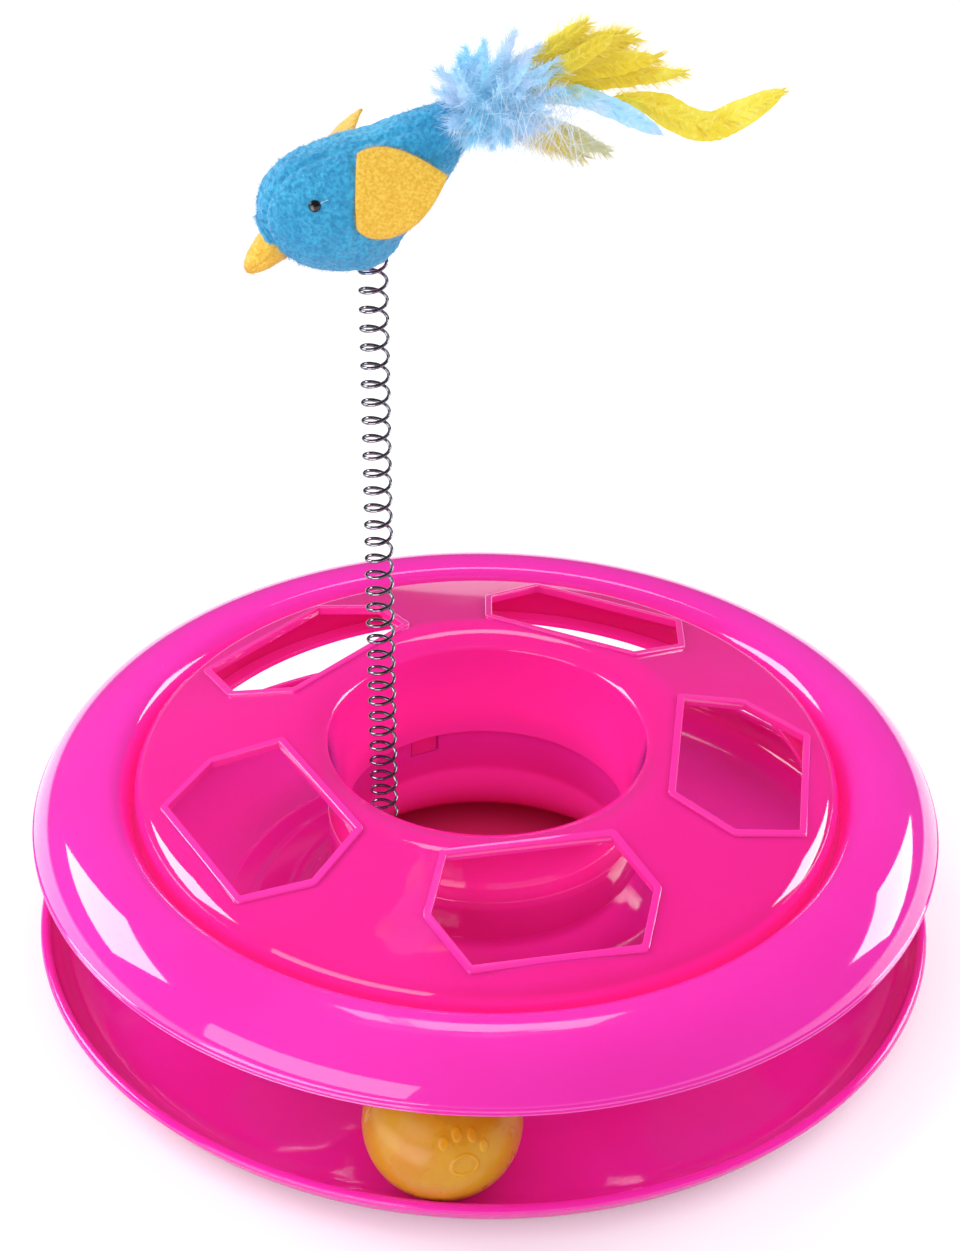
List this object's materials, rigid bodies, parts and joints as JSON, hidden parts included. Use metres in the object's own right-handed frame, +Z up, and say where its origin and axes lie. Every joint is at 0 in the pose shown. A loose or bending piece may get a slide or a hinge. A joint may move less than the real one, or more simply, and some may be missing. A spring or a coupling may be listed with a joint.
{
  "type": "cat roundabout toy",
  "caption": "Pink cat roundabout toy: a ball runs in a covered round track with windows, and a plush bird sways above the middle on a long coil spring.",
  "frame": {"origin": "on the surface that the toy stands on, under the centre of the round track", "axes": "+Z up along the axis of the track, -Y towards the side that the picture shows in front"},
  "size_m": [0.25, 0.25, 0.2831],
  "materials": {
    "clear_pink": "glossy, slightly see-through pink moulding",
    "solid_pink": "glossy magenta moulding, more opaque",
    "amber": "mottled see-through amber",
    "spring_wire": "bright drawn spring wire",
    "blue_fleece": "short-pile fleece",
    "yellow_felt": "felt with loose fibres",
    "black_bead": "polished black bead",
    "thread": "wound thread",
    "blue_feather": "downy dyed feather",
    "yellow_feather": "downy dyed feather",
    "olive_feather": "downy dyed feather"
  },
  "bodies": {
    "base": {"base_dish": "clear_pink"},
    "cover": {"window_deck": "clear_pink", "outer_ring": "solid_pink"},
    "ball": {"ball_front_half": "amber", "ball_back_half": "amber"},
    "wand": {"spring_plug": "solid_pink", "spring": "spring_wire"},
    "perch": {"bird_plug": "solid_pink"},
    "bird": {"bird_body": "blue_fleece", "left_wing": "yellow_felt", "right_wing": "yellow_felt", "beak": "yellow_felt", "left_eye": "black_bead", "right_eye": "black_bead", "feather_binding": "thread", "blue_tuft": "blue_feather", "yellow_tuft": "yellow_feather", "olive_tuft": "olive_feather", "blue_plume": "blue_feather", "yellow_quill": "yellow_feather"}
  },
  "joints": [
    {"name": "ball_lap", "type": "hinge", "parent": "base", "child": "ball", "pos_m": [0, 0, 0.0235], "axis": [0, 0, 1], "continuous": true},
    {"name": "cover_lift", "type": "slide", "parent": "base", "child": "cover", "axis": [0, 0, 1], "range_m": [0, 0.045]},
    {"name": "wand_unplug", "type": "slide", "parent": "base", "child": "wand", "axis": [0, 0, 1], "range_m": [0, 0.012]},
    {"name": "bird_sway", "type": "hinge", "parent": "wand", "child": "perch", "pos_m": [-0.0288, -0.015, 0.13], "axis": [0, 1, 0], "range_deg": [-40, 40], "stiffness_Nm_per_rad": 0.08, "deforming": ["spring"]},
    {"name": "bird_turn", "type": "hinge", "parent": "perch", "child": "bird", "pos_m": [-0.0303, -0.015, 0.2244], "axis": [0, 0, 1], "range_deg": [-45, 45], "stiffness_Nm_per_rad": 0.01}
  ]
}
